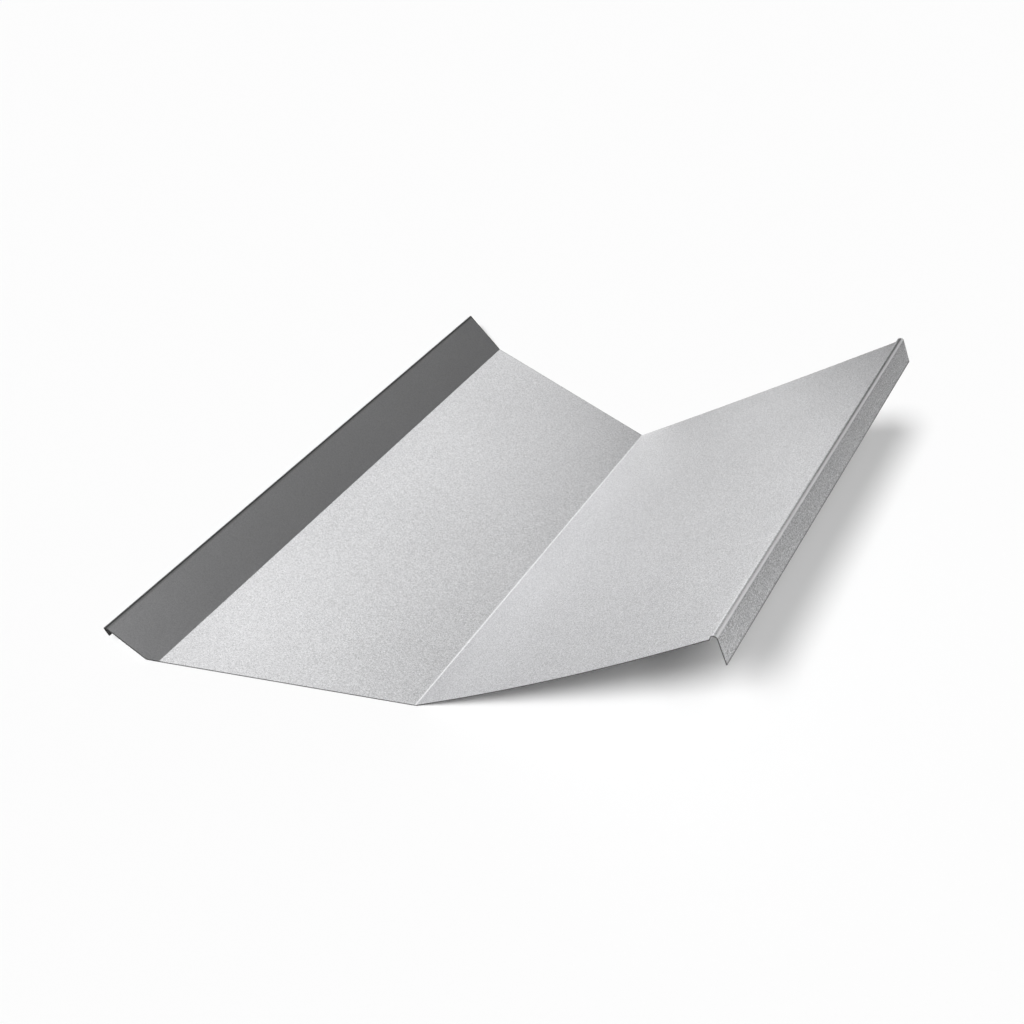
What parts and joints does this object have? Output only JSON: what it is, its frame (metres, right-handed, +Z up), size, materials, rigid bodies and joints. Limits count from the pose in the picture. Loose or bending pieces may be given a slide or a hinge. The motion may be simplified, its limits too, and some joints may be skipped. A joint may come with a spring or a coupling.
{
  "type": "valley tray",
  "caption": "Folded galvanised sheet tray that lines a roof valley: two wings meeting at a shallow fold, a raised hemmed flange on one edge and a turned-down lip on the other.",
  "frame": {"origin": "on the floor, under the middle of the tray's plan outline", "axes": "+Y along the valley fold, +X from the flanged wing towards the lipped wing, +Z up from the left panel that the tray lies on"},
  "size_m": [0.515, 0.621, 0.2008],
  "materials": {
    "galvanised_sheet": "dull galvanised, fine even grain"
  },
  "bodies": {
    "root": {"valley_tray": "galvanised_sheet"}
  },
  "joints": []
}
